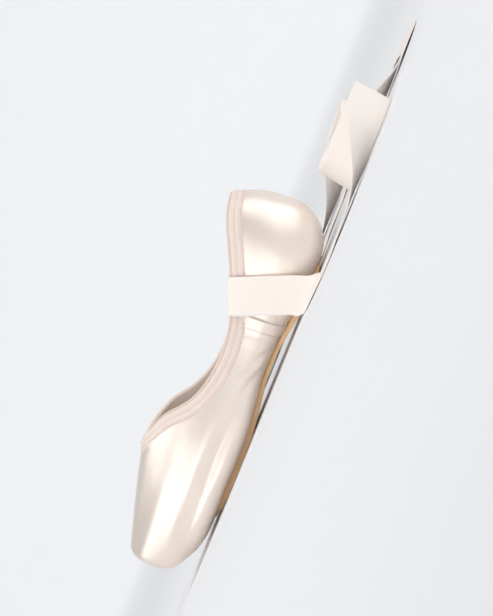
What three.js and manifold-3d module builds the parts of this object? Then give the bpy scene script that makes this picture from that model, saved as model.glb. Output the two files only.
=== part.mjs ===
// A pointe shoe standing on its sole, in millimetres: +X to the toe, +Y to the left, +Z up.
// The origin is on the floor below the middle of the shoe. Every shell is cut from one last.
import * as THREE from 'three';
import { mergeVertices } from 'three/addons/utils/BufferGeometryUtils.js';
import Module from 'manifold-3d';

const wasm = await Module();
wasm.setup();

// ---- Driving dimensions of the shoe ----
const LENGTH = 220;           // heel back to toe platform
const BALL_WIDTH = 75;        // across the ball of the foot
const INSTEP_HEIGHT = 56;     // floor to the throat
const HEEL_HEIGHT = 61.5;     // floor to the collar at the back of the heel
const HEEL_BULGE = 30;        // height at which the heel reaches furthest back
const ARCH_RISE = 4.7;        // lift of the sole under the arch
const TOE_SPRING = 11;        // lift of the box's underside at the toe
const QUARTER_WALL = 1.8;     // satin, canvas and lining together
const BOX_WALL = 3;           // the glued layers of the toe box
const WALL_CHANGE = { from: 25, to: 70 };   // where the wall grows from one to the other
const BINDING_DEPTH = 8;      // collar casing, measured down the shoe
const BINDING_PROUD = 0.4;    // casing beyond the wall, on both faces
const OUTSOLE_LEATHER = 2;
const INSOLE_BOARD = 1.8;
const RIBBON_WIDTH = 22;
const RIBBON_CLOTH = 1;       // folded edge and cloth together
const GAP = 0.3;              // clearance between pieces that touch

const HEEL_BACK = -LENGTH / 2;
const TOE_FRONT = LENGTH / 2;
const SEAT = OUTSOLE_LEATHER + GAP;   // floor to the underside of the last, at heel and ball

// ---- Mesh resolution and cutting ----
const AROUND = 36;            // points round one section
const HEEL_RINGS = 7;
const BODY_RINGS = 24;
const TOE_RINGS = 4;
const COLLAR_POINTS = 44;
const SOLE_RINGS = 40;
const RIBBON_RINGS = 2;       // rings between two places of a ribbon
const RIBBON_BENDS = 6;       // steps of the ribbon's turn over the collar
const COLLAR_NEAR = 0.05;     // first collar point, as the root of its distance from the throat
const COLLAR_BACK = -97;      // where the collar's two sides meet behind the heel
const CUT_REACH = 130;        // half size of the block that removes what is above the collar
const HALF_TURN = Math.PI / 2;

// Sections of the last. along: share of the length from the heel; crest: share of the instep
// height; width: share of the ball width; widest: height in mm of the widest place;
// under and over: how square the section is below and above that place.
const SECTIONS = [
  { along: 0.000, crest: 1.395, width: 0.72, widest: 30.0, under: 2.4, over: 2.0 },
  { along: 0.150, crest: 1.390, width: 0.72, widest: 26.0, under: 3.3, over: 2.0 },
  { along: 0.236, crest: 1.350, width: 0.70, widest: 24.0, under: 3.3, over: 2.0 },
  { along: 0.341, crest: 1.275, width: 0.69, widest: 22.0, under: 3.2, over: 2.0 },
  { along: 0.455, crest: 1.190, width: 0.78, widest: 20.0, under: 3.1, over: 2.0 },
  { along: 0.555, crest: 1.115, width: 0.91, widest: 18.5, under: 3.1, over: 2.1 },
  { along: 0.636, crest: 1.057, width: 0.985, widest: 18.0, under: 3.1, over: 2.1 },
  { along: 0.718, crest: 1.000, width: 1.00, widest: 18.0, under: 3.1, over: 2.2 },
  { along: 0.791, crest: 0.935, width: 0.97, widest: 18.5, under: 3.0, over: 2.3 },
  { along: 0.864, crest: 0.862, width: 0.885, widest: 19.5, under: 2.9, over: 2.4 },
  { along: 0.927, crest: 0.788, width: 0.77, widest: 21.5, under: 2.7, over: 2.5 },
  { along: 0.970, crest: 0.735, width: 0.67, widest: 24.0, under: 2.6, over: 2.6 },
  { along: 1.000, crest: 0.700, width: 0.60, widest: 26.4, under: 2.6, over: 2.6 },
];

// How the sections close at the heel: start is where the rounding begins, power how full it is.
const HEEL_CLOSING = {
  width: { start: -76, power: 2.2 },
  crest: { start: -70, power: 2.0 },
  sole: { start: -84, power: 2.1 },
};
const PLATFORM_EDGE = 4.5;    // radius round the flat toe platform

// Lift of the sole: a smooth hump under the arch and a slow rise to the toe.
const ARCH = { from: -74, to: 30 };
const SPRING_FROM = 78;

// Collar: a rounded throat, then the height of the edge down to the waist and up to the heel.
const THROAT = { front: 48, spread: 5.3, from: 12, to: 28 };
const COLLAR = [
  { x: -115, height: HEEL_HEIGHT },
  { x: -99, height: HEEL_HEIGHT },
  { x: -88, height: 58.4 },
  { x: -75, height: 52.0 },
  { x: -61, height: 45.2 },
  { x: -48, height: 39.3 },
  { x: -35, height: 35.0 },
  { x: -20, height: 33.0 },
  { x: -3, height: 34.3 },
  { x: 12, height: 39.5 },
  { x: 24, height: 47.2 },
  { x: 30, height: 50.8 },
];

// Plan outlines, as half widths, with the reach and fullness of their round ends.
const OUTSOLE_PLAN = {
  back: -86, front: 74, reach: 20, power: 2.4,
  rows: [
    { x: -86, half: 15.5 },
    { x: -74, half: 16.0 },
    { x: -50, half: 13.5 },
    { x: -25, half: 12.5 },
    { x: 5, half: 16.0 },
    { x: 35, half: 20.5 },
    { x: 55, half: 20.5 },
    { x: 74, half: 17.5 },
  ],
};
const LASTING_MARGIN = 6;     // satin turned in between outsole and insole
const SOLE_CUT = { below: -5, above: 8 };   // reach of the cuts beyond the sole's two faces
const INSOLE_PLAN = { back: -94, front: 92, reach: 26, power: 2.4, share: 0.6 };

// ---- Ribbons ----
// Each is sewn inside its quarter, turns over the collar and hangs down beside the shoe.
// slope leans it towards the heel; fold is the radius of its turn over the edge, whose middle
// lies sunk below the edge. Depths are down the wall and inward away from it.
const RIBBON_CROSSING = { x: -50, slope: -0.42, inset: 0.05, fold: 3.4, sunk: 1 };
const RIBBON_SEWN = [
  { depth: 15, inward: 2.2 },
  { depth: 7.5, inward: 3 },
];
const RIBBON_DROP = [
  { x: -58.5, out: 29.4, height: 21 },
  { x: -63.4, out: 30.0, height: 9.5 },
  { x: -66.0, out: 31.4, height: 3.6 },
];
const RIBBON_CLEARANCE = 0.1;
// How far the width lies along the fold at the floor, from the first place of the drop on.
const RIBBON_FOLD = [0.25, 0.8, 1, 1, 0.5];
const FLOOR_CLEARANCE = 0.05;
// Then it lies on the floor. onEdge: degrees that the cloth is turned up from lying flat.
const RIBBON_FLOORS = {
  ribbon_left: [
    { x: -69, out: 36, onEdge: 0, lift: 0.3 },
    { x: -73, out: 46, onEdge: 0, lift: 0 },
    { x: -80, out: 57, onEdge: 0, lift: 0 },
    { x: -92, out: 66, onEdge: 0, lift: 0 },
    { x: -108, out: 70, onEdge: 0, lift: 0.4 },
    { x: -126, out: 69, onEdge: 4, lift: 0.4 },
    { x: -143, out: 65, onEdge: 20, lift: 0 },
    { x: -158, out: 60, onEdge: 46, lift: 0 },
    { x: -171, out: 54, onEdge: 68, lift: 0 },
    { x: -180, out: 44, onEdge: 80, lift: 0 },
    { x: -184, out: 30, onEdge: 84, lift: 0 },
    { x: -180, out: 16, onEdge: 84, lift: 0 },
    { x: -170, out: 6, onEdge: 82, lift: 0 },
    { x: -157, out: 1, onEdge: 76, lift: 0 },
    { x: -145, out: -1, onEdge: 74, lift: 0 },
    { x: -133, out: -7, onEdge: 78, lift: 0 },
    { x: -126, out: -19, onEdge: 82, lift: 0 },
    { x: -129, out: -33, onEdge: 82, lift: 0 },
    { x: -140, out: -42, onEdge: 76, lift: 0 },
    { x: -154, out: -44, onEdge: 60, lift: 0 },
    { x: -172, out: -43, onEdge: 30, lift: 0 },
    { x: -191, out: -47, onEdge: 6, lift: 0 },
    { x: -206, out: -60, onEdge: 0, lift: 0.5 },
    { x: -213, out: -80, onEdge: 0, lift: 0 },
    { x: -212, out: -102, onEdge: 0, lift: 0 },
    { x: -206, out: -122, onEdge: 0, lift: 0.4 },
    { x: -200, out: -140, onEdge: 0, lift: 0 },
  ],
  ribbon_right: [
    { x: -69, out: 36, onEdge: 0, lift: 0.3 },
    { x: -73, out: 46, onEdge: 0, lift: 0 },
    { x: -80, out: 58, onEdge: 0, lift: 0 },
    { x: -91, out: 70, onEdge: 0, lift: 0 },
    { x: -106, out: 81, onEdge: 0, lift: 0 },
    { x: -125, out: 91, onEdge: 5, lift: 0.6 },
    { x: -144, out: 101, onEdge: 24, lift: 0 },
    { x: -158, out: 115, onEdge: 56, lift: 0 },
    { x: -164, out: 133, onEdge: 80, lift: 0 },
    { x: -157, out: 150, onEdge: 82, lift: 0 },
    { x: -140, out: 160, onEdge: 70, lift: 0 },
    { x: -119, out: 159, onEdge: 46, lift: 0 },
    { x: -97, out: 149, onEdge: 18, lift: 0 },
    { x: -76, out: 136, onEdge: 3, lift: 0.6 },
    { x: -53, out: 124, onEdge: 0, lift: 0 },
    { x: -28, out: 115, onEdge: 0, lift: 0 },
    { x: -2, out: 110, onEdge: 0, lift: 0.5 },
    { x: 24, out: 109, onEdge: 0, lift: 0 },
    { x: 48, out: 113, onEdge: 0, lift: 0 },
    { x: 66, out: 119, onEdge: 0, lift: 0.4 },
  ],
};

const satin = { color: 0xe8dcd0, roughness: 0.45, metalness: 0 };
const cotton = { color: 0xe6d3c8, roughness: 0.8, metalness: 0 };
const leather = { color: 0xc9a27c, roughness: 0.75, metalness: 0 };
const board = { color: 0xe9e2d6, roughness: 0.9, metalness: 0 };
const ribbonCloth = { color: 0xf3e9df, roughness: 0.55, metalness: 0 };

// ---- Small helpers ----
const clamp = (value) => Math.min(1, Math.max(0, value));

function smoothstep(from, to, value) {
  const share = clamp((value - from) / (to - from));
  return share * share * (3 - 2 * share);
}

// A natural cubic spline through one column of a table, as a function of its key column.
function columnCurve(rows, key, column) {
  const at = rows.map((row) => row[key]);
  const value = rows.map((row) => row[column]);
  const last = rows.length - 1;
  const bend = new Array(rows.length).fill(0);
  const carry = new Array(rows.length).fill(0);
  for (let i = 1; i < last; i += 1) {
    const share = (at[i] - at[i - 1]) / (at[i + 1] - at[i - 1]);
    const pivot = share * bend[i - 1] + 2;
    const ahead = (value[i + 1] - value[i]) / (at[i + 1] - at[i]);
    const behind = (value[i] - value[i - 1]) / (at[i] - at[i - 1]);
    bend[i] = (share - 1) / pivot;
    carry[i] = ((6 * (ahead - behind)) / (at[i + 1] - at[i - 1]) - share * carry[i - 1]) / pivot;
  }
  for (let i = last - 1; i >= 0; i -= 1) {
    bend[i] = bend[i] * bend[i + 1] + carry[i];
  }
  return (where) => {
    const place = Math.min(at[last], Math.max(at[0], where));
    let i = 0;
    while (i < last - 1 && place > at[i + 1]) {
      i += 1;
    }
    const step = at[i + 1] - at[i];
    const right = (place - at[i]) / step;
    const left = 1 - right;
    const curl = (left ** 3 - left) * bend[i] + (right ** 3 - right) * bend[i + 1];
    return left * value[i] + right * value[i + 1] + (curl * step * step) / 6;
  };
}

// Falls from 1 to 0 between the start of an end rounding and its tip.
function closing(distance, reach, power) {
  return (1 - clamp(distance / reach) ** power) ** (1 / power);
}

// ---- The last ----
const crestShare = columnCurve(SECTIONS, 'along', 'crest');
const widthShare = columnCurve(SECTIONS, 'along', 'width');
const widestHeight = columnCurve(SECTIONS, 'along', 'widest');
const underPower = columnCurve(SECTIONS, 'along', 'under');
const overPower = columnCurve(SECTIONS, 'along', 'over');

function soleRise(x) {
  const arch = Math.sin(Math.PI * clamp((x - ARCH.from) / (ARCH.to - ARCH.from))) ** 2;
  const spring = clamp((x - SPRING_FROM) / (TOE_FRONT - SPRING_FROM)) ** 2;
  return ARCH_RISE * arch + TOE_SPRING * spring;
}

function wallAt(x) {
  return QUARTER_WALL + (BOX_WALL - QUARTER_WALL) * smoothstep(WALL_CHANGE.from, WALL_CHANGE.to, x);
}

function heelClosing(x, { start, power }) {
  return closing(start - x, start - HEEL_BACK, power);
}

// Sizes of the section at x: its sole, crest, half width and where that width lies.
function sectionAt(x) {
  const along = (x - HEEL_BACK) / LENGTH;
  const beyond = Math.max(0, x - (TOE_FRONT - PLATFORM_EDGE));
  const inset = PLATFORM_EDGE - Math.sqrt(Math.max(0, PLATFORM_EDGE ** 2 - beyond ** 2));
  const crest = crestShare(along) * INSTEP_HEIGHT - inset;
  const sole = SEAT + soleRise(x) + inset;
  return {
    crest: HEEL_BULGE + (crest - HEEL_BULGE) * heelClosing(x, HEEL_CLOSING.crest),
    sole: HEEL_BULGE - (HEEL_BULGE - sole) * heelClosing(x, HEEL_CLOSING.sole),
    half: (widthShare(along) * BALL_WIDTH / 2 - inset) * heelClosing(x, HEEL_CLOSING.width),
    widest: widestHeight(along),
    under: underPower(along),
    over: overPower(along),
  };
}

// A point of the section at x; turn 0 is at +Y, a quarter turn at the crest.
function sectionPoint(x, turn) {
  const section = sectionAt(x);
  const power = 2 / (Math.sin(turn) < 0 ? section.under : section.over);
  const tall = Math.sin(turn) < 0 ? section.widest - section.sole : section.crest - section.widest;
  const across = Math.sign(Math.cos(turn)) * Math.abs(Math.cos(turn)) ** power;
  const up = Math.sign(Math.sin(turn)) * Math.abs(Math.sin(turn)) ** power;
  return new THREE.Vector3(x, section.half * across, section.widest + tall * up);
}

// Place along the last: 0 to 1 rounds the heel, 1 to 2 is the body, 2 to 3 rounds the platform.
function stationX(place) {
  const heelReach = HEEL_CLOSING.width.start - HEEL_BACK;
  const platform = TOE_FRONT - PLATFORM_EDGE;
  if (place < 1) {
    return HEEL_BACK + heelReach * (1 - Math.cos(place * HALF_TURN));
  }
  if (place < 2) {
    return HEEL_CLOSING.width.start + (platform - HEEL_CLOSING.width.start) * (place - 1);
  }
  return platform + PLATFORM_EDGE * Math.sin((place - 2) * HALF_TURN);
}

function lastPoint(place, turn) {
  return sectionPoint(stationX(place), turn);
}

function lastNormal(place, turn) {
  const step = 1e-3;
  const onward = lastPoint(Math.min(3, place + step), turn);
  const along = onward.sub(lastPoint(Math.max(0, place - step), turn));
  const around = lastPoint(place, turn + step).sub(lastPoint(place, turn - step));
  return around.cross(along).normalize();
}

const STATIONS = [
  ...Array.from({ length: HEEL_RINGS }, (_, i) => (i + 1) / HEEL_RINGS),
  ...Array.from({ length: BODY_RINGS }, (_, i) => 1 + (i + 1) / BODY_RINGS),
  ...Array.from({ length: TOE_RINGS }, (_, i) => 2 + (i + 1) / TOE_RINGS),
];

// ---- Solids ----
// Joins a row of rings, each with the same number of points, and closes both ends to a point.
function loft(rings, tail, nose) {
  const count = rings[0].length;
  const points = [...rings.flat(), tail, nose];
  const tailIndex = rings.length * count;
  const noseIndex = tailIndex + 1;
  const faces = [];
  for (let j = 0; j < count; j += 1) {
    const next = (j + 1) % count;
    faces.push(tailIndex, next, j);
    for (let i = 0; i < rings.length - 1; i += 1) {
      const here = i * count;
      const ahead = here + count;
      faces.push(here + j, here + next, ahead + next);
      faces.push(here + j, ahead + next, ahead + j);
    }
    const end = (rings.length - 1) * count;
    faces.push(end + j, end + next, noseIndex);
  }
  const geometry = new THREE.BufferGeometry();
  const positions = points.flatMap((point) => point.toArray());
  geometry.setAttribute('position', new THREE.Float32BufferAttribute(positions, 3));
  geometry.setIndex(faces);
  return geometry;
}

function toSolid(geometry) {
  geometry.deleteAttribute('normal');
  geometry.deleteAttribute('uv');
  const merged = mergeVertices(geometry, 1e-4);
  const vertProperties = new Float32Array(merged.attributes.position.array);
  const triVerts = new Uint32Array(merged.index.array);
  return new wasm.Manifold(new wasm.Mesh({ numProp: 3, vertProperties, triVerts }));
}

function toGeometry(solid) {
  const mesh = solid.getMesh();
  const geometry = new THREE.BufferGeometry();
  geometry.setAttribute('position', new THREE.BufferAttribute(mesh.vertProperties, 3));
  geometry.setIndex(new THREE.BufferAttribute(mesh.triVerts, 1));
  return geometry;
}

// The last moved out along its normals by growth(x); a negative growth shrinks it.
function lastSolid(growth) {
  const rings = STATIONS.map((place) => Array.from({ length: AROUND }, (_, j) => {
    const turn = ((j + 0.5) / AROUND) * 2 * Math.PI;
    const point = lastPoint(place, turn);
    const normal = place === 3 ? new THREE.Vector3(1, 0, 0) : lastNormal(place, turn);
    return point.addScaledVector(normal, growth(point.x));
  }));
  const tail = new THREE.Vector3(HEEL_BACK - growth(HEEL_BACK), 0, HEEL_BULGE);
  const platform = sectionAt(TOE_FRONT);
  const nose = new THREE.Vector3(TOE_FRONT + growth(TOE_FRONT), 0, platform.widest);
  return toSolid(loft(rings, tail, nose));
}

// An upright slab with a plan outline of half width half(x) between two heights.
function slab(back, front, half, low, high) {
  const rings = Array.from({ length: SOLE_RINGS }, (_, i) => {
    const turn = ((i + 0.5) / SOLE_RINGS) * Math.PI;
    const x = (back + front) / 2 - ((front - back) / 2) * Math.cos(turn);
    return [[1, high], [-1, high], [-1, low], [1, low]].map(
      ([side, height]) => new THREE.Vector3(x, side * half(x), height(x)),
    );
  });
  const tail = new THREE.Vector3(back, 0, (low(back) + high(back)) / 2);
  const nose = new THREE.Vector3(front, 0, (low(front) + high(front)) / 2);
  return toSolid(loft(rings, tail, nose));
}

// ---- Collar ----
const collarTable = columnCurve(COLLAR, 'x', 'height');

// Height of the last's surface at a place in plan, above its widest line.
function surfaceHeight(x, y) {
  const { crest, half, widest, over } = sectionAt(x);
  const share = clamp(1 - (Math.abs(y) / half) ** over);
  return widest + (crest - widest) * share ** (1 / over);
}

function collarHeight(x) {
  const throat = surfaceHeight(x, THROAT.spread * Math.sqrt(Math.max(0, THROAT.front - x)));
  const share = smoothstep(THROAT.from, THROAT.to, x);
  return share * throat + (1 - share) * collarTable(x);
}

// Half width of the collar's edge at x.
function collarHalf(x) {
  const { crest, half, widest, over } = sectionAt(x);
  const share = clamp((collarHeight(x) - widest) / (crest - widest));
  return half * (1 - share ** over) ** (1 / over);
}

function collarPoint(step) {
  const x = THROAT.front - step * step;
  return new THREE.Vector3(x, collarHalf(x), collarHeight(x));
}

// Zero on the last's upper surface and growing outwards.
function outsideness(point) {
  const { crest, half, widest, over } = sectionAt(point.x);
  const across = Math.abs(point.y) / half;
  const up = Math.abs(point.z - widest) / (crest - widest);
  return across ** over + up ** over - 1;
}

function surfaceGradient(point) {
  const step = 0.01;
  const slope = (axis) => {
    const ahead = outsideness(point.clone().addScaledVector(axis, step));
    return (ahead - outsideness(point.clone().addScaledVector(axis, -step))) / (2 * step);
  };
  return new THREE.Vector3(
    slope(new THREE.Vector3(1, 0, 0)),
    slope(new THREE.Vector3(0, 1, 0)),
    slope(new THREE.Vector3(0, 0, 1)),
  );
}

// The collar's edge moved down the shoe's surface by depth, as seen from the side.
function collarLine(depth) {
  const end = Math.sqrt(THROAT.front - COLLAR_BACK);
  const nudge = 0.01;
  const line = [];
  for (let i = 0; i < COLLAR_POINTS; i += 1) {
    const step = COLLAR_NEAR + ((end - COLLAR_NEAR) * i) / (COLLAR_POINTS - 1);
    const onward = collarPoint(step + nudge).sub(collarPoint(step - nudge)).normalize();
    const point = collarPoint(step);
    const downward = onward.cross(surfaceGradient(point)).normalize();
    const moved = point.addScaledVector(downward, depth);
    for (let round = 0; round < 2; round += 1) {
      const gradient = surfaceGradient(moved);
      moved.addScaledVector(gradient, -outsideness(moved) / gradient.lengthSq());
    }
    line.push(new THREE.Vector2(moved.x, moved.z));
  }
  return line;
}

// Everything above the collar line, as a block across the whole shoe.
function aboveCollar(depth) {
  const line = collarLine(depth);
  const back = new THREE.Vector2(-CUT_REACH, line[line.length - 1].y);
  const corners = [new THREE.Vector2(-CUT_REACH, CUT_REACH), new THREE.Vector2(line[0].x, CUT_REACH)];
  const shape = new THREE.Shape([...line, back, ...corners]);
  const block = new THREE.ExtrudeGeometry(shape, { depth: CUT_REACH, bevelEnabled: false });
  block.rotateX(HALF_TURN);
  block.translate(0, CUT_REACH / 2, 0);
  return toSolid(block);
}

// ---- Pieces ----
const outsoleHalf = columnCurve(OUTSOLE_PLAN.rows, 'x', 'half');

function planHalf(x, margin) {
  const { back, front, reach, power } = OUTSOLE_PLAN;
  const heelEnd = closing(back + margin + reach - x, reach, power);
  const toeEnd = closing(x - (front - margin - reach), reach, power);
  return (outsoleHalf(x) - margin) * heelEnd * toeEnd;
}

function underneath(margin, low) {
  const { back, front } = OUTSOLE_PLAN;
  const high = (x) => SEAT + soleRise(x) + SOLE_CUT.above;
  return slab(back + margin, front - margin, (x) => planHalf(x, margin), low, high);
}

function makeUpper() {
  const shell = lastSolid(() => 0).subtract(lastSolid((x) => -wallAt(x)));
  const opening = underneath(LASTING_MARGIN, () => SOLE_CUT.below);
  return shell.subtract(aboveCollar(BINDING_DEPTH + GAP)).subtract(opening);
}

function makeBinding() {
  const outer = lastSolid(() => BINDING_PROUD);
  const shell = outer.subtract(lastSolid((x) => -wallAt(x) - BINDING_PROUD));
  return shell.intersect(aboveCollar(BINDING_DEPTH)).subtract(aboveCollar(0));
}

function makeOutsole() {
  const tread = underneath(0, soleRise).subtract(lastSolid(() => GAP));
  const filler = underneath(LASTING_MARGIN + GAP, (x) => soleRise(x) + OUTSOLE_LEATHER / 2);
  return tread.add(filler.subtract(lastSolid((x) => -wallAt(x))));
}

function makeInsole() {
  const { back, front, reach, power, share } = INSOLE_PLAN;
  const half = (x) => {
    const ends = closing(back + reach - x, reach, power) * closing(x - front + reach, reach, power);
    return widthShare((x - HEEL_BACK) / LENGTH) * (BALL_WIDTH / 2) * share * ends;
  };
  const high = (x) => sectionAt(x).sole + wallAt(x) + GAP + INSOLE_BOARD;
  const blank = slab(back, front, half, () => 0, high);
  return blank.intersect(lastSolid((x) => -wallAt(x) - GAP));
}

// Places that a ribbon passes, on the +Y side, each with the direction across its width.
function ribbonPlaces(floorRows) {
  const { x, slope, inset, fold, sunk } = RIBBON_CROSSING;
  const across = new THREE.Vector3(1, inset, slope).normalize();
  const downward = new THREE.Vector3(slope, 0, -1).normalize();
  const wall = wallAt(x);
  const middle = new THREE.Vector3(x, collarHalf(x) - wall / 2, collarHeight(x) - sunk);
  const places = [];
  const add = (point) => places.push({ point, across });
  RIBBON_SEWN.forEach(({ depth, inward }) => {
    const point = middle.clone().addScaledVector(downward, depth);
    point.y -= inward;
    add(point);
  });
  for (let i = 0; i <= RIBBON_BENDS; i += 1) {
    const turn = Math.PI * (1 - i / RIBBON_BENDS);
    const outward = new THREE.Vector3(0, Math.cos(turn) * fold, 0);
    add(middle.clone().add(outward).addScaledVector(downward, -Math.sin(turn) * fold));
  }
  RIBBON_DROP.forEach(({ x: along, out, height }) => add(new THREE.Vector3(along, out, height)));
  floorRows.forEach((row, i) => {
    const ahead = floorRows[Math.min(i + 1, floorRows.length - 1)];
    const behind = floorRows[Math.max(i - 1, 0)];
    const heading = new THREE.Vector3(ahead.x - behind.x, ahead.out - behind.out, 0).normalize();
    const edge = THREE.MathUtils.degToRad(row.onEdge);
    const level = new THREE.Vector3(heading.y, -heading.x, 0).multiplyScalar(Math.cos(edge));
    const half = (RIBBON_CLOTH / 2) * Math.cos(edge) + (RIBBON_WIDTH / 2) * Math.sin(edge);
    const point = new THREE.Vector3(row.x, row.out, half + row.lift + RIBBON_CLEARANCE);
    places.push({ point, across: level.add(new THREE.Vector3(0, 0, Math.sin(edge))) });
  });
  const firstOfDrop = places.length - floorRows.length - RIBBON_DROP.length;
  const alongFold = new THREE.Vector3(1, 0, 0);
  RIBBON_FOLD.forEach((share, i) => {
    const place = places[firstOfDrop + i];
    place.across = place.across.clone().lerp(alongFold, share).normalize();
  });
  return places;
}

function makeRibbon(floorRows, side) {
  const places = ribbonPlaces(floorRows);
  const route = new THREE.CatmullRomCurve3(places.map((place) => place.point));
  const widths = new THREE.CatmullRomCurve3(places.map((place) => place.across));
  const steps = (places.length - 1) * RIBBON_RINGS;
  const rings = Array.from({ length: steps + 1 }, (_, i) => {
    const share = i / steps;
    const centre = route.getPoint(share);
    const heading = route.getTangent(share);
    const across = widths.getPoint(share);
    const square = across.clone().addScaledVector(heading, -across.dot(heading));
    across.divideScalar(square.length());
    const face = heading.clone().cross(across).normalize();
    const corners = [[1, 1], [-1, 1], [-1, -1], [1, -1]];
    const ring = corners.map(([left, top]) => centre.clone()
      .addScaledVector(across, (left * RIBBON_WIDTH) / 2)
      .addScaledVector(face, (top * RIBBON_CLOTH) / 2));
    ring.forEach((corner) => {
      corner.z = Math.max(corner.z, FLOOR_CLEARANCE);
      corner.y *= side;
    });
    return side > 0 ? ring : ring.reverse();
  });
  const middle = (ring) => ring.reduce((sum, corner) => sum.add(corner), new THREE.Vector3())
    .divideScalar(ring.length);
  return toSolid(loft(rings, middle(rings[0]), middle(rings[rings.length - 1])));
}

function addMesh(group, name, solid, look) {
  const mesh = new THREE.Mesh(toGeometry(solid), new THREE.MeshStandardMaterial(look));
  mesh.name = name;
  group.add(mesh);
}

const shoe = new THREE.Group();
addMesh(shoe, 'upper', makeUpper(), satin);
addMesh(shoe, 'binding', makeBinding(), cotton);
addMesh(shoe, 'outsole', makeOutsole(), leather);
addMesh(shoe, 'insole', makeInsole(), board);
addMesh(shoe, 'ribbon_left', makeRibbon(RIBBON_FLOORS.ribbon_left, 1), ribbonCloth);
addMesh(shoe, 'ribbon_right', makeRibbon(RIBBON_FLOORS.ribbon_right, -1), ribbonCloth);

export default shoe;
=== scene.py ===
import logging
import math
from dataclasses import dataclass
from enum import Enum
from typing import Callable, Sequence

import bpy
import numpy as np
from mathutils import Matrix, Vector


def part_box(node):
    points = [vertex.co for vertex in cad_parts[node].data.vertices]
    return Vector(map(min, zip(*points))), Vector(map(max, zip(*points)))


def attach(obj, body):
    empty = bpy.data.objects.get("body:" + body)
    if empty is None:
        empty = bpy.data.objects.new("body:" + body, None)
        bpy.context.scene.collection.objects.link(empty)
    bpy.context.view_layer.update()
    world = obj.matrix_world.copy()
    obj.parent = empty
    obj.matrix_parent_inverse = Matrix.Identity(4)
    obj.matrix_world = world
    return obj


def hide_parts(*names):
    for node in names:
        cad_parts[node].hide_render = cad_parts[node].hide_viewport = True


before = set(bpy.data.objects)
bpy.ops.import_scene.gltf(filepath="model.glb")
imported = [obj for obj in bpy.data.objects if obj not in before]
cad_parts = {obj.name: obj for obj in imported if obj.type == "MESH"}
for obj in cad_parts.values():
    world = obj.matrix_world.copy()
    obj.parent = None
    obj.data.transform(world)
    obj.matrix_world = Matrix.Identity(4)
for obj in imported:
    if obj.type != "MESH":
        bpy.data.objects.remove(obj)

# A pale satin pointe shoe standing on its sole, with its two ribbons laid down. Shapes are
# worked out in millimetres in the shoe's frame (+X toe, +Y left, +Z up) and are written to
# the meshes in metres.

MM = 0.001
Array = np.ndarray
Curve = Callable[[Array], Array]
Colour = tuple[float, float, float]
Piece = bpy.types.Object
Socket = bpy.types.NodeSocket
Inputs = dict[str | int, object]
log = logging.getLogger("pointe shoe")


# ---------------------------------------------------------------- tables of the last
SECTIONS = {
    "along": (0.0, 0.150, 0.236, 0.341, 0.455, 0.555, 0.636, 0.718, 0.791, 0.864, 0.927, 0.970, 1.0),
    "crest": (1.395, 1.390, 1.350, 1.275, 1.190, 1.115, 1.057, 1.0, 0.935, 0.862, 0.788, 0.735, 0.700),
    "width": (0.72, 0.72, 0.70, 0.69, 0.78, 0.91, 0.985, 1.0, 0.97, 0.885, 0.77, 0.67, 0.60),
    "widest": (30.0, 26.0, 24.0, 22.0, 20.0, 18.5, 18.0, 18.0, 18.5, 19.5, 21.5, 24.0, 26.4),
    "under": (2.4, 3.3, 3.3, 3.2, 3.1, 3.1, 3.1, 3.1, 3.0, 2.9, 2.7, 2.6, 2.6),
    "over": (2.0, 2.0, 2.0, 2.0, 2.0, 2.1, 2.1, 2.2, 2.3, 2.4, 2.5, 2.6, 2.6),
}
COLLAR = {
    "x": (-115, -99, -88, -75, -61, -48, -35, -20, -3, 12, 24, 30),
    "height": (61.5, 61.5, 58.4, 52.0, 45.2, 39.3, 35.0, 33.0, 34.3, 39.5, 47.2, 50.8),
}
OUTSOLE_PLAN = {
    "x": (-86, -74, -50, -25, 5, 35, 55, 74),
    "half": (15.5, 16.0, 13.5, 12.5, 16.0, 20.5, 20.5, 17.5),
}


# ---------------------------------------------------------------- small mathematics
def natural_spline(at: Sequence[float], value: Sequence[float]) -> Curve:
    """Joins table values by cubics that share slope and bend where they meet.

    Args:
        at: The rising places of the table's rows.
        value: The value in each row.

    Returns:
        The curve, which keeps its end values beyond the table.
    """
    places = np.asarray(at, float)
    values = np.asarray(value, float)
    steps = np.diff(places)
    slopes = np.diff(values) / steps
    inner = np.arange(1, len(places) - 1)
    system = np.eye(len(places))
    system[inner, inner - 1] = steps[:-1]
    system[inner, inner] = 2 * (steps[:-1] + steps[1:])
    system[inner, inner + 1] = steps[1:]
    wanted = np.zeros(len(places))
    wanted[inner] = 6 * np.diff(slopes)
    bend = np.linalg.solve(system, wanted)

    def curve(where: Array) -> Array:
        """Evaluates the cubic that holds each place.

        Args:
            where: Places along the table.

        Returns:
            The value at each place.
        """
        spot = np.clip(where, places[0], places[-1])
        row = np.clip(np.searchsorted(places, spot, side="right") - 1, 0, len(steps) - 1)
        right = (spot - places[row]) / steps[row]
        left = 1 - right
        curl = (left**3 - left) * bend[row] + (right**3 - right) * bend[row + 1]
        return left * values[row] + right * values[row + 1] + curl * steps[row] ** 2 / 6

    return curve


def smoothstep(low: float, high: float, value: Array) -> Array:
    """Rises from 0 at low to 1 at high, level at both ends: 3s^2 - 2s^3."""
    share = np.clip((value - low) / (high - low), 0, 1)
    return share * share * (3 - 2 * share)


def closing(distance: Array, reach: float, power: float) -> Array:
    """Falls from 1 to 0 over reach as a rounded end: (1 - s^power)^(1/power)."""
    return (1 - np.clip(distance / reach, 0, 1) ** power) ** (1 / power)


def bell(value: Array, width: float) -> Array:
    """A soft bump of height 1 at 0: exp(-(value/width)^2)."""
    return np.exp(-((value / width) ** 2))


def unit(vectors: Array) -> Array:
    """Scales each vector to length 1."""
    return vectors / np.maximum(np.linalg.norm(vectors, axis=-1, keepdims=True), 1e-12)


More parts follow.
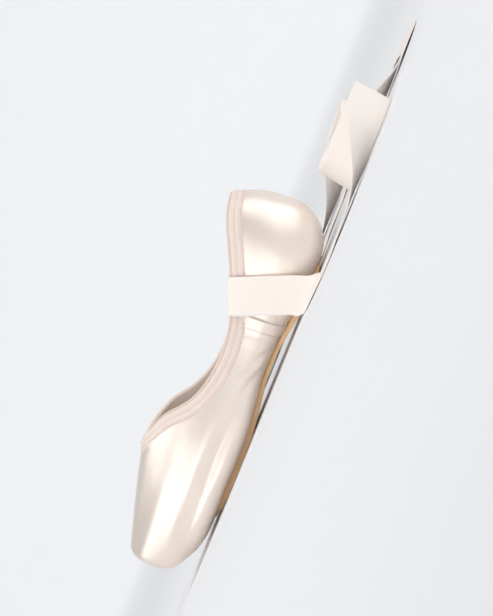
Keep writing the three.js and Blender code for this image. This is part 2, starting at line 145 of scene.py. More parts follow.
def signed_power(value: Array, power: Array) -> Array:
    """Raises the size of a value to a power and keeps its sign."""
    return np.sign(value) * np.abs(value) ** power


def circle(count: int) -> Array:
    """Angles evenly round a circle."""
    return np.linspace(0, 2 * np.pi, count, endpoint=False)


def walk(line: Array) -> Array:
    """Distance along a line of points at each of them."""
    return np.concatenate([[0], np.cumsum(np.linalg.norm(np.diff(line, axis=0), axis=1))])


def join(*parts: Array) -> Array:
    """Puts coordinates together as points, in a new last axis."""
    return np.stack(np.broadcast_arrays(*parts), axis=-1)


def sample(at: Array, walked: Array, line: Array) -> Array:
    """Points of a line at distances along it."""
    return join(*(np.interp(at, walked, column) for column in line.T))


# ---------------------------------------------------------------- the last
@dataclass
class Last:
    """The form that the shoe is made on, as superellipse sections along X."""

    length: float
    ball_width: float = 75.0
    instep: float = 56.0
    heel_bulge: float = 30.0
    crest_round: float = -70.0
    plan_round: float = -76.0
    sole_round: float = -84.0
    arch: tuple[float, float] = (-74.0, 30.0)
    arch_rise: float = 4.7
    spring_start: float = 78.0
    toe_spring: float = 11.0
    seat: float = 2.3
    platform_edge: float = 4.5
    quarter_wall: float = 1.8
    box_wall: float = 3.0
    box: tuple[float, float] = (25.0, 70.0)
    throat: float = 48.0
    throat_spread: float = 5.3
    throat_blend: tuple[float, float] = (12.0, 28.0)
    collar_back: tuple[float, float] = (-103.0, -95.0)

    def __post_init__(self) -> None:
        """Places the ends and turns the tables into curves."""
        self.heel = -self.length / 2
        self.toe = self.length / 2
        self.platform = self.toe - self.platform_edge
        along = SECTIONS["along"]
        self.columns = {
            name: natural_spline(along, values) for name, values in SECTIONS.items() if name != "along"
        }
        self.collar_table = natural_spline(COLLAR["x"], COLLAR["height"])

    def rise(self, x: Array) -> Array:
        """Lift of the sole: a sin^2 hump under the arch and a square-law toe spring.

        Args:
            x: Places along the shoe.

        Returns:
            The lift in millimetres.
        """
        start, end = self.arch
        arch = np.sin(np.pi * np.clip((x - start) / (end - start), 0, 1)) ** 2
        spring = np.clip((x - self.spring_start) / (self.toe - self.spring_start), 0, 1) ** 2
        return self.arch_rise * arch + self.toe_spring * spring

    def wall(self, x: Array) -> Array:
        """Thickness of the wall, from the soft quarters to the hard box."""
        return self.quarter_wall + (self.box_wall - self.quarter_wall) * smoothstep(*self.box, x)

    def rounded(self, x: Array, start: float, power: float) -> Array:
        """Falls from 1 at start to 0 at the back of the heel."""
        return closing(start - x, start - self.heel, power)

    def section(self, x: Array) -> dict[str, Array]:
        """Works out the section at each x.

        Args:
            x: Places along the shoe.

        Returns:
            The crest, sole, half width, widest height and the two powers at each place.
        """
        along = (x - self.heel) / self.length
        beyond = np.maximum(0, x - self.platform)
        inset = self.platform_edge - np.sqrt(np.maximum(0, self.platform_edge**2 - beyond**2))
        top = self.columns["crest"](along) * self.instep - inset
        low = self.seat + self.rise(x) + inset
        half = self.columns["width"](along) * self.ball_width / 2 - inset
        bulge = self.heel_bulge
        return {
            "crest": bulge + (top - bulge) * self.rounded(x, self.crest_round, 2.0),
            "sole": bulge - (bulge - low) * self.rounded(x, self.sole_round, 2.1),
            "half": half * self.rounded(x, self.plan_round, 2.2),
            "widest": self.columns["widest"](along),
            "under": self.columns["under"](along),
            "over": self.columns["over"](along),
        }

    def station(self, place: Array) -> Array:
        """X of a place: 0 to 1 rounds the heel, 1 to 2 is the body, 2 to 3 the toe's edge.

        Args:
            place: Places along the last.

        Returns:
            X at each place.
        """
        heel = self.heel + (self.plan_round - self.heel) * (1 - np.cos(np.clip(place, 0, 1) * np.pi / 2))
        body = (self.platform - self.plan_round) * np.clip(place - 1, 0, 1)
        edge = self.platform_edge * np.sin(np.clip(place - 2, 0, 1) * np.pi / 2)
        return heel + body + edge

    def body_place(self, x: float) -> float:
        """The place of an x on the body."""
        return 1 + (x - self.plan_round) / (self.platform - self.plan_round)

    def point(self, place: Array, turn: Array) -> Array:
        """A point of the last.

        The section at the place's x, with y = half |cos|^(2/n) and z = widest + tall |sin|^(2/n);
        places 3 to 4 shrink the last section to the middle of the flat platform.

        Args:
            place: Places along the last, 0 to 4.
            turn: Angles round the section, with a quarter turn at the crest.

        Returns:
            The points, as an array with a last axis of three.
        """
        x = self.station(place)
        part = self.section(x)
        below = np.sin(turn) < 0
        power = 2 / np.where(below, part["under"], part["over"])
        tall = np.where(below, part["widest"] - part["sole"], part["crest"] - part["widest"])
        shrink = np.clip(4 - place, 0, 1)
        y = part["half"] * signed_power(np.cos(turn), power) * shrink
        z = part["widest"] + tall * signed_power(np.sin(turn), power) * shrink
        return join(x, y, z)

    def normal(self, place: Array, turn: Array) -> Array:
        """Outward normal: central differences of point, and straight out at heel and platform.

        Args:
            place: Places along the last.
            turn: Angles round the section.

        Returns:
            Unit vectors.
        """
        step = 1e-3
        inside = np.clip(place, step, 3 - step)
        along = self.point(inside + step, turn) - self.point(inside - step, turn)
        around = self.point(inside, turn + step) - self.point(inside, turn - step)
        ahead = smoothstep(2.9, 3.0, place)[..., None]
        behind = smoothstep(0.06, 0.0, place)[..., None]
        out = unit(np.cross(around, along)) * (1 - ahead) * (1 - behind)
        return unit(out + (ahead - behind) * np.array([1.0, 0, 0]))

    def collar_height(self, x: Array) -> Array:
        """Height of the collar: a parabola in plan at the throat, then the table's curve.

        Args:
            x: Places along the shoe.

        Returns:
            The height in millimetres.
        """
        part = self.section(x)
        y = self.throat_spread * np.sqrt(np.maximum(0, self.throat - x))
        share = np.clip(1 - (y / part["half"]) ** part["over"], 0, 1)
        front = part["widest"] + (part["crest"] - part["widest"]) * share ** (1 / part["over"])
        mix = smoothstep(*self.throat_blend, x)
        return mix * front + (1 - mix) * self.collar_table(x)

    def collar_half(self, x: Array) -> Array:
        """Half width of the collar's edge, where the last reaches the collar's height.

        Args:
            x: Places along the shoe.

        Returns:
            The half width in millimetres.
        """
        part = self.section(x)
        rise = (self.collar_height(x) - part["widest"]) / (part["crest"] - part["widest"])
        return part["half"] * (1 - np.clip(rise, 0, 1) ** part["over"]) ** (1 / part["over"])

    def outsideness(self, points: Array) -> Array:
        """Zero on the last's upper surface: |y/half|^n + |(z - widest)/tall|^n - 1.

        Args:
            points: Points above the widest height.

        Returns:
            A number below 0 inside and above 0 outside.
        """
        part = self.section(points[..., 0])
        across = np.abs(points[..., 1]) / part["half"]
        up = np.abs(points[..., 2] - part["widest"]) / (part["crest"] - part["widest"])
        return across ** part["over"] + up ** part["over"] - 1

    def gradient(self, points: Array) -> Array:
        """Slope of outsideness by central differences.

        Args:
            points: Points above the widest height.

        Returns:
            The slope at each, as a vector.
        """
        step = 0.01
        steps = step * np.eye(3)
        rises = (self.outsideness(points + s) - self.outsideness(points - s) for s in steps)
        return join(*rises) / (2 * step)

    def collar_rows(self, count: int, depth: float, rows: int) -> tuple[Array, Array, Array]:
        """Lays rows of points down the shoe's surface from the collar's edge.

        The edge is x = middle + reach cos(t), y = +-half(x), z = height(x). Each row lies a step
        further down, at a right angle to the row before and pulled back to the surface.

        Args:
            count: Points round the collar.
            depth: How far down the last row lies.
            rows: Rows below the edge.

        Returns:
            Points, outward normals and downward directions, each of rows + 1 by count by 3.
        """
        back = np.linspace(*self.collar_back, 4000)
        end = back[np.argmax(self.section(back)["crest"] > self.collar_height(back))]
        dense = circle(4 * count)
        x = (self.throat + end) / 2 + (self.throat - end) / 2 * np.cos(dense)
        y = self.collar_half(x) * np.sign(np.sin(dense))
        edge = join(x, y, self.collar_height(x))
        closed = np.vstack([edge, edge[:1]])
        walked = walk(closed)
        points = sample(np.linspace(0, walked[-1], count, endpoint=False), walked, closed)
        all_rows = []
        for _ in range(rows + 1):
            slope = self.gradient(points)
            points = points - slope * (self.outsideness(points) / (slope**2).sum(-1))[:, None]
            normals = unit(slope)
            ahead = unit(np.roll(points, -1, axis=0) - np.roll(points, 1, axis=0))
            down = unit(np.cross(normals, ahead))
            down *= np.sign((down * (points - points.mean(0))).sum(-1).mean())
            all_rows.append((points, normals, down))
            points = points + down * depth / rows
        return tuple(np.stack(part) for part in zip(*all_rows))


def outsole_half(x: Array, margin: float = 0.0) -> Array:
    """Half width of the outsole's outline, from its table and its two rounded ends.

    Args:
        x: Places along the shoe.
        margin: How far the wanted outline lies inside the sole's own.

    Returns:
        The half width in millimetres, 0 beyond the ends.
    """
    reach, power = 20.0, 2.4
    table = natural_spline(OUTSOLE_PLAN["x"], OUTSOLE_PLAN["half"])
    back, front = OUTSOLE_PLAN["x"][0] + margin, OUTSOLE_PLAN["x"][-1] - margin
    ends = closing(back + reach - x, reach, power) * closing(x - front + reach, reach, power)
    return (table(x) - margin) * ends


# ---------------------------------------------------------------- meshes from arrays
def grid_faces(rows: int, columns: int, wrap_rows: bool = False, wrap_columns: bool = False) -> Array:
    """Quads of a grid of points, numbered row by row.

    Args:
        rows: Points along the first parameter.
        columns: Points along the second.
        wrap_rows: Whether the last row joins the first.
        wrap_columns: Whether the last column joins the first.

    Returns:
        An array of quads.
    """
    i, j = np.meshgrid(
        np.arange(rows if wrap_rows else rows - 1),
        np.arange(columns if wrap_columns else columns - 1),
        indexing="ij",
    )
    up, right = (i + 1) % rows, (j + 1) % columns
    quads = join(i * columns + j, i * columns + right, up * columns + right, up * columns + j)
    return quads.reshape(-1, 4)


def weld(points: Array, faces: Array) -> tuple[Array, Array, Array]:
    """Merges points that coincide.

    Args:
        points: The points in millimetres.
        faces: Quads on them.

    Returns:
        Kept points' numbers, the faces on them, and a mask of faces with at least three corners.
    """
    _, first, back = np.unique(np.round(points, 3), axis=0, return_index=True, return_inverse=True)
    merged = back.reshape(-1)[faces]
    different = merged != np.roll(merged, -1, axis=1)
    return first, merged, different.sum(axis=1) >= 3


def face_list(faces: Array) -> list[list[int]]:
    """Writes quads as lists and drops a corner that repeats the one before it.

    Args:
        faces: Quads, some of them with a doubled corner.

    Returns:
        Lists of four or three point numbers.
    """
    keep = faces != np.roll(faces, 1, axis=1)
    whole = keep.all(axis=1)
    short = [row[mask].tolist() for row, mask in zip(faces[~whole], keep[~whole])]
    return faces[whole].tolist() + short


def corner_points(mesh: bpy.types.Mesh) -> Array:
    """The number of the point at each corner of a mesh's faces.

    Args:
        mesh: The mesh.

    Returns:
        The numbers, face by face.
    """
    corners = np.empty(len(mesh.loops), dtype=np.int32)
    mesh.loops.foreach_get("vertex_index", corners)
    return corners


def add_object(name: str, data: bpy.types.ID) -> Piece:
    """Makes an object of a mesh, camera or light and links it to the scene.

    Args:
        name: The object's name.
        data: The mesh, camera or light.

    Returns:
        The object.
    """
    item = bpy.data.objects.new(name, data)
    bpy.context.scene.collection.objects.link(item)
    return item


def make_piece(
    name: str, points: Array, faces: Array, uv: Array | None = None, marks: dict[str, Array] | None = None
) -> Piece:
    """Makes a smooth-shaded object from arrays.

    Args:
        name: The piece's name.
        points: Points in millimetres.
        faces: Quads; a quad with a doubled corner becomes a triangle.
        uv: A place on the cloth in millimetres for each point.
        marks: Named numbers for each point, for the materials.

    Returns:
        The object, linked to the scene.
    """
    mesh = bpy.data.meshes.new(name)
    mesh.from_pydata((points * MM).tolist(), [], face_list(faces))
    mesh.update()
    if uv is not None:
        layer = mesh.uv_layers.new(name="UVMap")
        layer.data.foreach_set("uv", (uv[corner_points(mesh)] * MM).astype(np.float32).ravel())
    for mark, values in (marks or {}).items():
        attribute = mesh.attributes.new(mark, "FLOAT", "POINT")
        attribute.data.foreach_set("value", values.astype(np.float32))
    mesh.shade_smooth()
    return add_object(name, mesh)


def thicken(points: Array, normals: Array, faces: Array, wall: Array) -> tuple[Array, Array]:
    """Gives a sheet a wall: an inner copy at points - wall * normals and a rim between.

    Args:
        points: The sheet's points.
        normals: Their outward normals.
        faces: The sheet's quads, outward.
        wall: The wall at each point.

    Returns:
        All points and all faces, the outer ones first.
    """
    count = len(points)
    inner = points - normals * wall[:, None]
    starts, ends = faces, np.roll(faces, -1, axis=1)
    forward = (starts * count + ends).ravel()
    backward = (ends * count + starts).ravel()
    real = (starts != ends).ravel()
    rim = ~np.isin(forward, backward[real]) & real
    a, b = starts.ravel()[rim], ends.ravel()[rim]
    bridge = np.stack([b, a, a + count, b + count], axis=1)
    return np.vstack([points, inner]), np.vstack([faces, faces[:, ::-1] + count, bridge])


def make_rings(name: str, rings: Array, marks: dict[str, Array] | None = None) -> Piece:
    """Makes a piece from closed rings of points, each joined to the next, with x and y as its UV.

    Args:
        name: The piece's name.
        rings: Points in millimetres, rings by points by 3. Those that coincide are merged.
        marks: Named numbers for each point.

    Returns:
        The object.
    """
    points = rings.reshape(-1, 3)
    kept, merged, good = weld(points, grid_faces(*rings.shape[:2], wrap_columns=True))
    kept_marks = {mark: values.ravel()[kept] for mark, values in (marks or {}).items()}
    return make_piece(name, points[kept], merged[good], points[kept, :2], kept_marks)


def dress(piece: Piece, finish: bpy.types.Material, node: str | None = None) -> Piece:
    """Gives a piece its finish and body, and hides the part of the node that it replaces.

    Args:
        piece: The piece.
        finish: Its material.
        node: The node that it replaces, if any.

    Returns:
        The piece.
    """
    piece.data.materials.append(finish)
    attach(piece, "root")
    if node:
        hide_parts(node)
    return piece


# ---------------------------------------------------------------- finishes
class Weave(Enum):
    """How a cloth's threads lie."""

    SATIN = "satin"
    TWILL = "twill"
    RIB = "rib"


@dataclass(frozen=True)
class Line:
    """A thin sewn or pressed line, where a coordinate along a direction has one value. Its darker colour
    is a seam's own, and painted shade where it lies in a groove.
    """

    direction: tuple[float, float, float]
    at_mm: float
    width_mm: float
    strength: float
    on_cloth: bool = False
    beyond: tuple[tuple[float, float, float], float] | None = None
    depth_mm: float = 0.06


class Nodes:
    """A material's node tree, with short ways to add to it."""

    def __init__(self, name: str) -> None:
        """Starts a named material with its principled shader.

        Args:
            name: The material's name.
        """
        self.material = bpy.data.materials.new(name)
        self.material.use_nodes = True
        self.tree = self.material.node_tree
        self.shader = self.tree.nodes["Principled BSDF"]

    def put(self, node: bpy.types.Node, inputs: Inputs) -> None:
        """Links a node's inputs to sockets, or sets them to numbers, vectors or colours.

        Args:
            node: The node.
            inputs: What goes into each input, by name or number.
        """
        for key, value in inputs.items():
            if isinstance(value, Socket):
                self.tree.links.new(value, node.inputs[key])
            else:
                colour = node.inputs[key].type == "RGBA"
                node.inputs[key].default_value = (*value, 1.0) if colour else value

    def add(self, kind: str, output: str | int, inputs: Inputs, **settings: object) -> Socket:
        """Adds a node.

        Args:
            kind: Its type, as the name after ShaderNode.
            output: The name or number of the output that is wanted.
            inputs: What goes into its inputs, by name or number.
            settings: Its properties.

        Returns:
            The wanted output.
        """
        node = self.tree.nodes.new("ShaderNode" + kind)
        for key, value in settings.items():
            setattr(node, key, value)
        self.put(node, inputs)
        return node.outputs[output]

    def noise(self, place: Socket, scale: float, detail: float) -> Socket:
        """Cloud noise of so many lumps to the metre."""
        return self.add("TexNoise", "Fac", {"Vector": place, "Scale": scale, "Detail": detail})

    def ramp(self, value: Socket, low: float, high: float) -> Socket:
        """Stretches the range low to high over 0 to 1, smoothly."""
        inputs = {"Value": value, "From Min": low, "From Max": high}
        return self.add("MapRange", "Result", inputs, interpolation_type="SMOOTHSTEP")

    def math(self, operation: str, *values: object) -> Socket:
        """Works out one operation on sockets or numbers."""
        return self.add("Math", "Value", dict(enumerate(values)), operation=operation)

    def mix(self, share: object, first: object, second: object) -> Socket:
        """Mixes two colours, given as sockets or as linear values."""
        return self.add("Mix", 2, {0: share, 6: first, 7: second}, data_type="RGBA")

    def along(self, place: Socket, direction: Sequence[float]) -> Socket:
        """Measures a place along a direction, as their dot product."""
        return self.add("VectorMath", "Value", {0: place, 1: direction}, operation="DOT_PRODUCT")

    def bump(self, height: Socket, depth: float) -> Socket:
        """Turns a height into a normal, with its depth in metres."""
        return self.add("Bump", "Normal", {"Height": height, "Distance": depth, "Strength": 1.0})

    def line(self, place: Socket, line: Line) -> Socket:
        """Makes the mask of a thin line: 1 on it and 0 beyond its half width.

        Args:
            place: Coordinates in metres.
            line: The line.

        Returns:
            The mask.
        """
        off = self.math("SUBTRACT", self.along(place, line.direction), line.at_mm * MM)
        mask = self.ramp(self.math("ABSOLUTE", off), line.width_mm * MM, line.width_mm * MM * 0.2)
        if line.beyond is None:
            return mask
        direction, start = line.beyond
        gate = self.math("GREATER_THAN", self.along(place, direction), start * MM)
        return self.math("MULTIPLY", mask, gate)


@dataclass(frozen=True)
class Cloth:
    """A woven finish: colour, sheen and threads at their real size."""

    name: str
    colour: Colour
    shade: Colour
    roughness: float
    weave: Weave
    thread_mm: float
    relief: float
    sheen: float = 0.3
    anisotropy: float = 0.0
    mottle_mm: float = 18.0
    fleck_mm: float = 1.2
    metallic: float = 0.0
    worn: Colour | None = None
    lines: tuple[Line, ...] = ()
    line_colour: Colour = (0.62, 0.42, 0.33)

    def material(self) -> bpy.types.Material:
        """Builds the node material.

        Returns:
            The material, with colour, roughness and bump from its nodes.
        """
        kit = Nodes(self.name)
        uv = kit.add("UVMap", "UV", {}, uv_map="UVMap")
        place = kit.add("TexCoord", "Object", {})
        broad = kit.noise(place, 1 / (self.mottle_mm * MM), 3.0)
        fine = kit.noise(place, 1 / (self.fleck_mm * MM), 2.0)
        colour = kit.mix(kit.ramp(broad, 0.35, 0.65), self.shade, self.colour)
        if self.worn is not None:
            wear = kit.add("Attribute", "Fac", {}, attribute_name="wear")
            patchy = kit.math("MULTIPLY", wear, kit.ramp(kit.noise(place, 160.0, 3.0), 0.1, 0.6))
            colour = kit.mix(patchy, colour, self.worn)
        height = self.threads(kit, uv, fine)
        # Each line darkens the colour: a seam's own colour, or painted shade in a groove.
        for line in self.lines:
            mask = kit.line(uv if line.on_cloth else place, line)
            colour = kit.mix(kit.math("MULTIPLY", mask, line.strength), colour, self.line_colour)
            sunk = kit.math("MULTIPLY", mask, line.depth_mm * MM / self.relief)
            height = kit.math("SUBTRACT", height, sunk)
        kit.put(kit.shader, {
            "Base Color": colour, "Metallic": self.metallic, "Anisotropic": self.anisotropy,
            "Roughness": kit.math("MULTIPLY_ADD", fine, 0.10, self.roughness - 0.05),
            "Sheen Weight": self.sheen, "Sheen Roughness": 0.4, "Normal": kit.bump(height, self.relief),
        })
        if self.anisotropy:
            tangent = kit.add("Tangent", "Tangent", {}, direction_type="UV_MAP", uv_map="UVMap")
            kit.put(kit.shader, {"Tangent": tangent})
        return kit.material

    def threads(self, kit: Nodes, uv: Socket, fine: Socket) -> Socket:
        """Height of the threads from waves across the cloth's own coordinates.

        The wave node's bands repeat every 0.1 pi over its scale.

        Args:
            kit: The material's nodes.
            uv: The cloth's coordinates, in metres.
            fine: A fine noise.

        Returns:
            The height, about 0 to 1.
        """
        turn = {Weave.SATIN: 90.0, Weave.TWILL: 45.0, Weave.RIB: 0.0}[self.weave]
        turned = kit.add("Mapping", "Vector", {"Vector": uv, "Rotation": (0, 0, math.radians(turn))})
        wave = kit.add("TexWave", "Fac", {
            "Vector": turned, "Scale": 0.1 * math.pi / (self.thread_mm * MM),
            "Distortion": 0.6, "Detail": 1.0,
        }, wave_type="BANDS", bands_direction="X")
        return kit.math("MULTIPLY_ADD", wave, 0.6, kit.math("MULTIPLY", fine, 0.4))


@dataclass(frozen=True)
class Leather:
    """A napped leather: mottled faces and a cut edge of its own colour."""

    name: str
    colour: Colour
    shade: Colour
    edge: Colour
    roughness: float = 0.72

    def material(self) -> bpy.types.Material:
        """Builds the node material, with the cut edge from the piece's edge mark.

        Returns:
            The material.
        """
        kit = Nodes(self.name)
        place = kit.add("TexCoord", "Object", {})
        grain = kit.noise(place, 1400.0, 3.0)
        face = kit.mix(kit.ramp(kit.noise(place, 60.0, 4.0), 0.3, 0.7), self.shade, self.colour)
        face = kit.mix(kit.math("MULTIPLY", grain, 0.25), face, self.shade)
        cut = kit.add("Attribute", "Fac", {}, attribute_name="edge")
        kit.put(kit.shader, {
            "Base Color": kit.mix(cut, face, self.edge), "Specular IOR Level": 0.35,
            "Roughness": kit.math("MULTIPLY_ADD", grain, 0.16, self.roughness - 0.08),
            "Normal": kit.bump(grain, 0.00012),
        })
        return kit.material


# Where the side seam lies, and how far below the collar's edge the casing's rows are.
SIDE_SEAM = -37.0
SEAM_SLANT = 0.05
SEAM_LAP = 6.3
CASING_GROOVE = 4.0
CASING_STITCHES = 6.6
CASING_DEPTH = 8.0
SATIN = Cloth(
    "satin", (0.92, 0.82, 0.74), (0.89, 0.78, 0.695), 0.34, Weave.SATIN, 0.1382, 0.00002,
    sheen=0.10, anisotropy=0.3, metallic=0.6, worn=(0.78, 0.62, 0.50),
    lines=(
        Line((1, 0, -SEAM_SLANT), SIDE_SEAM - 0.6, 0.40, 0.60),
        Line((1, 0, -SEAM_SLANT), SIDE_SEAM - 1.1 - SEAM_LAP, 0.35, 0.40),
        Line((0, 1, 0), 0.0, 0.45, 0.80, beyond=((-1, 0, 0), 88.0)),
    ),
)
LINING = Cloth("lining", (0.78, 0.70, 0.61), (0.72, 0.63, 0.53), 0.85, Weave.TWILL, 0.377, 0.00008)
CASING = Cloth(
    "binding", (0.86, 0.735, 0.66), (0.82, 0.69, 0.615), 0.72, Weave.TWILL, 0.2199, 0.00004, sheen=0.35,
    lines=(
        Line((0, 1, 0), 0.45, 0.5, 0.8, on_cloth=True),
        # Painted shade: a darker line in the groove under the cord.
        Line((0, 1, 0), CASING_GROOVE, 0.40, 0.30, on_cloth=True),
        Line((0, 1, 0), CASING_DEPTH - 0.2, 0.35, 0.4, on_cloth=True),
    ),
)
SOCK = Cloth("insole", (0.76, 0.71, 0.63), (0.70, 0.64, 0.55), 0.88, Weave.TWILL, 0.4398, 0.00010)
RIBBON = Cloth(
    "ribbon", (0.85, 0.76, 0.68), (0.82, 0.725, 0.64), 0.42, Weave.RIB, 0.1885, 0.00003, sheen=0.3,
    metallic=0.12, lines=(
        Line((0, 1, 0), 10.2, 0.45, 0.35, on_cloth=True),
        Line((0, 1, 0), -10.2, 0.45, 0.35, on_cloth=True),
    ),
)
THREAD = Cloth("thread", (0.84, 0.72, 0.64), (0.78, 0.66, 0.58), 0.6, Weave.RIB, 0.0942, 0.00002)
SOLE_LEATHER = Leather("outsole", (0.78, 0.62, 0.45), (0.69, 0.53, 0.36), (0.86, 0.58, 0.32))


# ---------------------------------------------------------------- the pieces
@dataclass(frozen=True)
class Crease:
    """A soft trough or ridge on the upper, between two places (x, z) seen from the side."""

    start: tuple[float, float]
    end: tuple[float, float]
    width: float
    height: float

    def relief(self, x: Array, z: Array) -> Array:
        """Height of the crease: height * bell(distance from its line), fading at both ends.

        Args:
            x: Places along the shoe.
            z: Heights.

        Returns:
            The height, below 0 in a trough.
        """
        (x0, z0), (x1, z1) = self.start, self.end
        dx, dz = x1 - x0, z1 - z0
        share = ((x - x0) * dx + (z - z0) * dz) / (dx * dx + dz * dz)
        near = np.clip(share, 0, 1)
        away = np.hypot(x - x0 - near * dx, z - z0 - near * dz)
        taper = smoothstep(-0.15, 0.35, share) * smoothstep(1.15, 0.65, share)
        return self.height * bell(away, self.width) * taper


# First the long pulls along the box, then the wrinkles at the arch, then those of the quarter.
CREASES = (
    Crease((-24, 13.0), (52, 15.5), 4.4, -1.5),
    Crease((20, 15.5), (102, 13), 4.6, -1.9),
    Crease((-14, 5.4), (102, 5.4), 3.6, 1.2),
    Crease((4, 26), (101, 24), 5.0, 0.6),
    Crease((-32, 7), (-11, 21), 1.7, -0.85),
    Crease((-28, 6), (-7, 18), 1.6, 0.60),
    Crease((-23, 6), (0, 16), 1.9, -0.70),
    Crease((-42, 8), (-62, 21), 2.4, -0.50),
    Crease((-46, 7), (-68, 17), 2.0, 0.30),
    Crease((-64, 13), (-98, 25), 5.5, -0.40),
    Crease((-32, 22), (-10, 23), 3.0, -0.35),
)


@dataclass
class Upper:
    """The satin upper: one hollow shell with its seams, creases and pleats."""

    last: Last
    rings: tuple[int, int, int, int] = (40, 140, 12, 8)
    seam_rings: tuple[float, float, int] = (-0.062, 0.030, 46)
    throat_rings: tuple[float, float, int] = (-0.01, 0.035, 24)
    around: int = 84
    tucked: float = 5.0
    lasting_margin: float = 6.0
    crease_fade: float = 4.0
    lap_height: float = 0.42
    back_seam: tuple[float, float] = (-90.0, -97.0)
    pleat_centre: float = 58.0
    pleat_turns: float = 13.0
    pleat_height: float = 0.75

    def line_turn(self, x: Array) -> tuple[Array, Array]:
        """Angles round the section between which the sheet lies at each x.

        Args:
            x: Places along the shoe.

        Returns:
            The lower angle, at the edge turned in under the sole, and the upper one at the collar.
        """
        part = self.last.section(x)
        opening = outsole_half(x, self.lasting_margin) / np.maximum(part["half"], 1e-6)
        low = -np.arccos(np.clip(opening, 0, 1) ** (part["under"] / 2))
        points, _, _ = self.last.collar_rows(600, self.tucked, 6)
        left = points[-1][points[-1][:, 1] >= 0]
        order = np.argsort(left[:, 0])
        height = np.interp(x, left[order, 0], left[order, 2], left=left[order[0], 2], right=1e3)
        rise = (height - part["widest"]) / np.maximum(part["crest"] - part["widest"], 1e-6)
        return low, np.arcsin(np.clip(rise, 0, 1) ** (part["over"] / 2))

    def seams(self, x: Array, y: Array, z: Array) -> Array:
        """Height of the side seam's lap with the slack beside it, and of the back seam's ridges.

        Args:
            x: Places along the shoe.
            y: Distances from its middle.
            z: Heights.

        Returns:
            The height in millimetres.
        """
        ahead = x - SIDE_SEAM - SEAM_SLANT * (z - 20)
        lap = smoothstep(-SEAM_LAP - 0.6, -SEAM_LAP + 0.6, ahead) * smoothstep(0.7, -0.7, ahead)
        slack = 0.22 * bell(ahead - 3.4, 2.4) + 0.16 * bell(ahead + 8.2, 1.6)
        back = 0.20 * bell(np.abs(y) - 2.3, 1.2) - 0.30 * bell(y, 0.9)
        side = smoothstep(3.0, 6.0, z) * (self.lap_height * lap - slack)
        return side + smoothstep(*self.back_seam, x) * back

    def pleats(self, points: Array, place: Array) -> Array:
        """Height of the pleats under the toe: |sin| of the angle round their common centre.

        Args:
            points: Points of the last.
            place: Their places along the last.

        Returns:
            The height in millimetres.
        """
        x, y, z = np.moveaxis(points, -1, 0)
        angle = np.arctan2(np.abs(y), x - self.pleat_centre)
        folds = np.abs(np.sin(angle * self.pleat_turns + 0.4 * np.sin(x * 0.3))) ** 0.8 - 0.45
        under = smoothstep(9.0, 4.5, z) * smoothstep(60, 68, x) * smoothstep(2.75, 2.2, place)
        return self.pleat_height * folds * under

    def relief(self, points: Array, side: int, place: Array) -> Array:
        """Height of the satin above the last: creases, seams, pleats and slight unevenness.

        Args:
            points: Points of the last.
            side: 1 on the left and -1 on the right.
            place: Their places along the last.

        Returns:
            The height in millimetres.
        """
        x, y, z = np.moveaxis(points, -1, 0)
        above_sole = z - self.last.seat - self.last.rise(x)
        high = sum(crease.relief(x, z) for crease in CREASES) * smoothstep(0, self.crease_fade, above_sole)
        uneven = np.sin(x * 0.13 + 0.05 * y * side) * np.sin(z * 0.21 + x * 0.05)
        high += self.seams(x, y, z) + self.pleats(points, place)
        return high + 0.10 * uneven * smoothstep(4, 10, z)

    @staticmethod
    def wear(points: Array) -> Array:
        """Where the satin is rubbed: round the platform's edge and low along the sole."""
        tip = smoothstep(100, 109, points[..., 0]) * 0.28
        return tip + 0.08 * smoothstep(5.5, 3.0, points[..., 2])

    def build(self) -> Piece:
        """Makes the shell: half a grid of the last for each side, welded and thickened.

        Returns:
            The upper, with satin outside and lining inside.
        """
        last = self.last
        heel, body, edge, flat = self.rings
        place = np.unique(np.concatenate([
            np.linspace(0, 1, heel, endpoint=False), np.linspace(1, 2, body, endpoint=False),
            np.linspace(2, 3, edge, endpoint=False), np.linspace(3, 4, flat),
            last.body_place(SIDE_SEAM) + np.linspace(*self.seam_rings),
            last.body_place(last.throat) + np.linspace(*self.throat_rings),
        ]))
        low, high = self.line_turn(last.station(place))
        turn = low[:, None] + (high - low)[:, None] * np.linspace(0, 1, self.around)
        grid = np.broadcast_to(place[:, None], turn.shape)
        base, normal = last.point(grid, turn), last.normal(grid, turn)
        strip = np.linalg.norm(np.diff(base, axis=1), axis=-1)
        arc = np.concatenate([np.zeros((len(place), 1)), np.cumsum(strip, axis=1)], axis=1)
        above = high[:, None] + (np.pi / 2 - high)[:, None] * np.linspace(0, 1, 24)
        missing = last.point(np.broadcast_to(place[:, None], above.shape), above)
        from_crest = np.linalg.norm(np.diff(missing, axis=1), axis=-1).sum(axis=1)[:, None]
        spot = join(base[..., 0], from_crest + arc[:, -1:] - arc).reshape(-1, 2)
        quads = grid_faces(len(place), self.around)
        halves, walls = [], []
        for side in (1, -1):
            mirror = np.array([1.0, side, 1.0])
            raised = base + normal * self.relief(base, side, grid)[..., None]
            halves.append((raised * mirror).reshape(-1, 3))
            walls.append((normal * mirror).reshape(-1, 3))
        points, normals = np.vstack(halves), np.vstack(walls)
        kept, merged, good = weld(points, np.vstack([quads[:, ::-1], quads + len(halves[0])]))
        wall = last.wall(points[kept, 0])
        shell, faces = thicken(points[kept], normals[kept], merged[good], wall)
        uv = np.vstack([spot, spot])[kept]
        worn = np.tile(self.wear(base).ravel(), 2)[kept]
        upper = make_piece("satin_upper", shell, faces, np.vstack([uv, uv]), {"wear": np.tile(worn, 2)})
        dress(upper, SATIN.material(), "upper")
        self.line_inside(upper, len(kept))
        return upper

    @staticmethod
    def line_inside(upper: Piece, outer_points: int) -> None:
        """Gives the faces that use only inner points the lining.

        Args:
            upper: The upper.
            outer_points: How many points lie outside, which come first.
        """
        mesh = upper.data
        mesh.materials.append(LINING.material())
        starts = np.empty(len(mesh.polygons), dtype=np.int32)
        mesh.polygons.foreach_get("loop_start", starts)
        inner = np.minimum.reduceat(corner_points(mesh), starts) >= outer_points
        mesh.polygons.foreach_set("material_index", inner.astype(np.int32))


